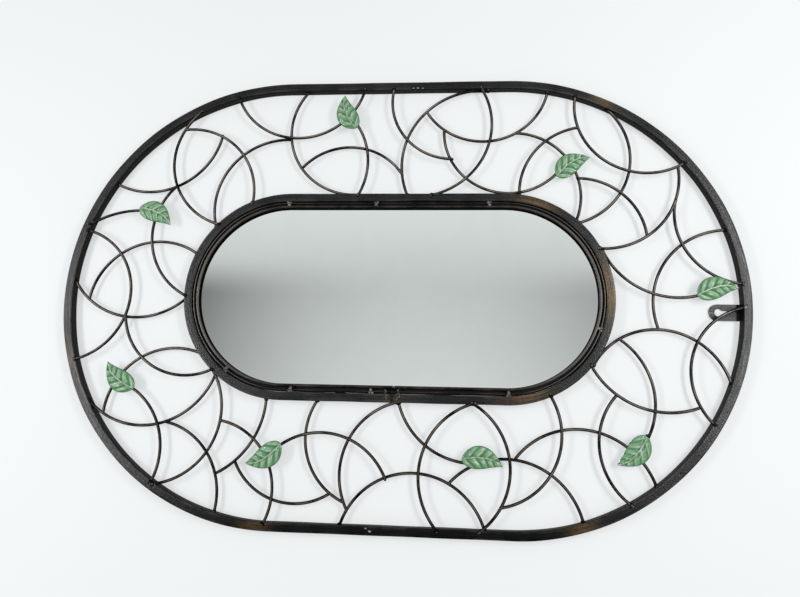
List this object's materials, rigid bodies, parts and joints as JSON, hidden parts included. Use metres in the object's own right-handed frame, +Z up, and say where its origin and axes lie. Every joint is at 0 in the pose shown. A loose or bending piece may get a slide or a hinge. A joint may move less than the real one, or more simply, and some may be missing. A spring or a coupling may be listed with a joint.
{
  "type": "oval wall mirror",
  "caption": "Oval wall mirror with a wide open frame: bowed steel wires and green enamelled leaves welded between two dark steel rings, and a keyhole hanger at the back.",
  "frame": {"origin": "centre of the hanger's round keyhole entry, on the back plane that lies against the wall", "axes": "+Z up as the mirror hangs, along its length; +Y to the wall behind; the glass faces -Y"},
  "size_m": [0.6096, 0.0168, 0.9142],
  "materials": {
    "blackened_steel": "satin",
    "wire_steel": "satin",
    "green_enamel": "gloss",
    "mirror": "polished",
    "hardboard": "matte"
  },
  "bodies": {
    "root": {"outer_ring": "blackened_steel", "inner_ring": "blackened_steel", "retaining_rod": "blackened_steel", "rod_tacks": "blackened_steel", "hanger_tab": "blackened_steel", "backing_clips": "blackened_steel", "leaves": "green_enamel", "mirror_glass": "mirror", "backing_board": "hardboard", "wire_01": "wire_steel", "wire_02": "wire_steel", "wire_03": "wire_steel", "wire_04": "wire_steel", "wire_05": "wire_steel", "wire_06": "wire_steel", "wire_07": "wire_steel", "wire_08": "wire_steel", "wire_09": "wire_steel", "wire_10": "wire_steel", "wire_11": "wire_steel", "wire_12": "wire_steel", "wire_13": "wire_steel", "wire_14": "wire_steel", "wire_15": "wire_steel", "wire_16": "wire_steel", "wire_17": "wire_steel", "wire_18": "wire_steel", "wire_19": "wire_steel", "wire_20": "wire_steel", "wire_21": "wire_steel", "wire_22": "wire_steel", "wire_23": "wire_steel", "wire_24": "wire_steel", "wire_25": "wire_steel", "wire_26": "wire_steel", "wire_27": "wire_steel", "wire_28": "wire_steel", "wire_29": "wire_steel", "wire_30": "wire_steel", "wire_31": "wire_steel", "wire_32": "wire_steel", "wire_33": "wire_steel", "wire_34": "wire_steel", "wire_35": "wire_steel", "wire_36": "wire_steel", "wire_37": "wire_steel", "wire_38": "wire_steel", "wire_39": "wire_steel", "wire_40": "wire_steel", "wire_41": "wire_steel", "wire_42": "wire_steel", "wire_43": "wire_steel", "wire_44": "wire_steel", "wire_45": "wire_steel", "wire_46": "wire_steel", "wire_47": "wire_steel", "wire_48": "wire_steel", "wire_49": "wire_steel", "wire_50": "wire_steel", "wire_51": "wire_steel"}
  },
  "joints": []
}
